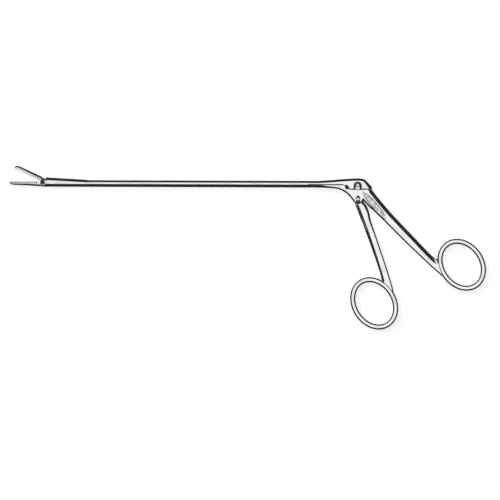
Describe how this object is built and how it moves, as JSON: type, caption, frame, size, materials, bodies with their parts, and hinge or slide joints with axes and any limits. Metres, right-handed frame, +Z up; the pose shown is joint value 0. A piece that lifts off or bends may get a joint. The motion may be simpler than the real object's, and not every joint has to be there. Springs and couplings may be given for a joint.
{
  "type": "foreign body forceps",
  "caption": "Slender sliding-shaft grasping forceps: toothed jaws at the end of a long straight shaft, worked by a finger lever with oval rings.",
  "frame": {"origin": "below the middle of the forceps as it lies on its side, on the surface that it lies on", "axes": "+X from the jaws to the handle along the shaft, +Y from the finger rings up to the shaft, +Z up out of the side of the instrument"},
  "size_m": [0.2864, 0.0978, 0.0052],
  "materials": {
    "polished_steel": "polished stainless steel, fine satin lay",
    "pin_steel": "turned stainless steel"
  },
  "bodies": {
    "frame": {"fixed_handle": "polished_steel", "lever_pivot_screw": "pin_steel", "jaw_pivot_pin": "pin_steel", "guide_stud_1": "pin_steel", "guide_stud_2": "pin_steel", "guide_stud_3": "pin_steel"},
    "slide": {"slide_bar": "polished_steel", "jaw_link_pin": "pin_steel"},
    "lever": {"finger_lever": "polished_steel", "drive_pin": "pin_steel"},
    "jaw": {"upper_jaw": "polished_steel"}
  },
  "joints": [
    {"name": "lever_hinge", "type": "hinge", "parent": "frame", "child": "lever", "pos_m": [0.06615, 0.02938, 0.0026], "axis": [0, 0, 1], "range_deg": [0, 10.39]},
    {"name": "bar_slide", "type": "slide", "parent": "frame", "child": "slide", "axis": [-1, 0, 0], "range_m": [0, 0.0015]},
    {"name": "jaw_hinge", "type": "hinge", "parent": "frame", "child": "jaw", "pos_m": [-0.12405, 0.03728, 0.0026], "axis": [0, 0, 1], "range_deg": [0, 26.3]}
  ],
  "couplings": [
    {"joint": "bar_slide", "follows": "lever_hinge", "m_per_rad": 0.0082727},
    {"joint": "jaw_hinge", "follows": "lever_hinge", "ratio": 2.5316}
  ]
}
